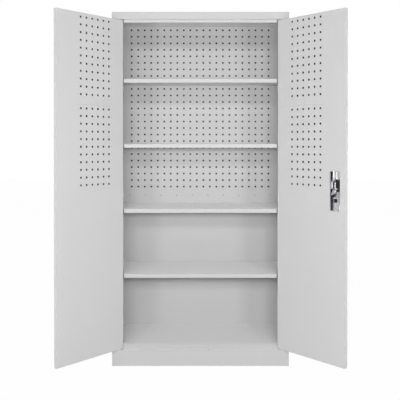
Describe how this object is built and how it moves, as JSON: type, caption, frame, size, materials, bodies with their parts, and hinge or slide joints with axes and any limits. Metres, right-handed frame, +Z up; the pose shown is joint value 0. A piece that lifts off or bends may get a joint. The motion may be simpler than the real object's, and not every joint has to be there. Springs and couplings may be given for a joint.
{
  "type": "tool cabinet",
  "caption": "Tall sheet steel tool cabinet with hinged doors, perforated peg panels, adjustable shelves and a rod lock worked by a handle.",
  "frame": {"origin": "on the floor, in the middle of the foot flange of the plinth, 10 mm behind the front plane", "axes": "+Z up, doors open towards -Y, +X to the right seen from the front"},
  "size_m": [1.3638, 0.7731, 1.8],
  "materials": {
    "grey_paint": "satin powder coat, light grey",
    "zinc_steel": "zinc plated",
    "chrome": "polished chrome plate",
    "black_steel": "blackened steel",
    "nylon": "natural nylon"
  },
  "bodies": {
    "carcass": {"left_side_panel": "grey_paint", "right_side_panel": "grey_paint", "top_panel": "grey_paint", "back_panel": "grey_paint", "floor_panel": "grey_paint", "plinth": "grey_paint", "peg_back_panel": "grey_paint", "peg_rail": "grey_paint", "peg_rivets": "grey_paint", "back_screws": "zinc_steel", "upright_front_left": "grey_paint", "upright_front_right": "grey_paint", "upright_rear_left": "grey_paint", "upright_rear_right": "grey_paint", "shelf_1": "grey_paint", "shelf_2": "grey_paint", "shelf_3": "grey_paint", "shelf_4": "grey_paint", "shelf_clips_1": "zinc_steel", "shelf_clips_2": "zinc_steel", "shelf_clips_3": "zinc_steel", "shelf_clips_4": "zinc_steel", "hinge_pins": "zinc_steel", "thrust_washers": "nylon", "rod_keepers": "zinc_steel"},
    "left_door": {"left_door_skin": "grey_paint", "left_door_stile": "grey_paint", "left_door_upper_peg_panel": "grey_paint", "left_door_lower_peg_panel": "grey_paint", "left_door_liner": "grey_paint", "left_door_stiffener": "grey_paint", "left_hinge_brackets": "zinc_steel", "left_hinge_bushes": "nylon"},
    "right_door": {"right_door_skin": "grey_paint", "right_door_stile": "grey_paint", "right_door_upper_peg_panel": "grey_paint", "right_door_lower_peg_panel": "grey_paint", "right_door_liner": "grey_paint", "right_door_stiffener": "grey_paint", "right_hinge_brackets": "zinc_steel", "right_hinge_bushes": "nylon", "rod_guides": "nylon", "lock_case": "chrome", "case_guide": "black_steel", "lock_bezel": "chrome", "lock_screws": "zinc_steel", "key_cylinder": "black_steel"},
    "handle": {"handle_lever": "chrome", "lock_cam": "zinc_steel", "cam_screw": "zinc_steel"},
    "key": {"key_plug": "black_steel", "tongue_screw": "zinc_steel"},
    "upper_lock_rod": {"upper_rod": "zinc_steel", "upper_rod_hook": "black_steel"},
    "lower_lock_rod": {"lower_rod": "zinc_steel", "lower_rod_hook": "black_steel"}
  },
  "joints": [
    {"name": "left_door_hinge", "type": "hinge", "parent": "carcass", "child": "left_door", "pos_m": [-0.416, -0.002, 0.086], "axis": [0, 0, 1], "range_deg": [0, 129]},
    {"name": "right_door_hinge", "type": "hinge", "parent": "carcass", "child": "right_door", "pos_m": [0.416, -0.002, 0.086], "axis": [0, 0, -1], "range_deg": [0, 129]},
    {"name": "handle_turn", "type": "hinge", "parent": "right_door", "child": "handle", "pos_m": [0.64122, -0.26741, 0.906], "axis": [0.7771, 0.6293, 0], "range_deg": [0, 90]},
    {"name": "key_turn", "type": "hinge", "parent": "right_door", "child": "key", "pos_m": [0.63996, -0.26586, 0.862], "axis": [0.7771, 0.6293, 0], "range_deg": [0, 90]},
    {"name": "upper_rod_slide", "type": "slide", "parent": "right_door", "child": "upper_lock_rod", "axis": [0, 0, 1], "range_m": [0, 0.02546]},
    {"name": "lower_rod_slide", "type": "slide", "parent": "right_door", "child": "lower_lock_rod", "axis": [0, 0, -1], "range_m": [0, 0.02546]}
  ],
  "couplings": [
    {"joint": "upper_rod_slide", "follows": "handle_turn", "m_per_rad": 0.016206},
    {"joint": "lower_rod_slide", "follows": "handle_turn", "m_per_rad": 0.016206}
  ]
}
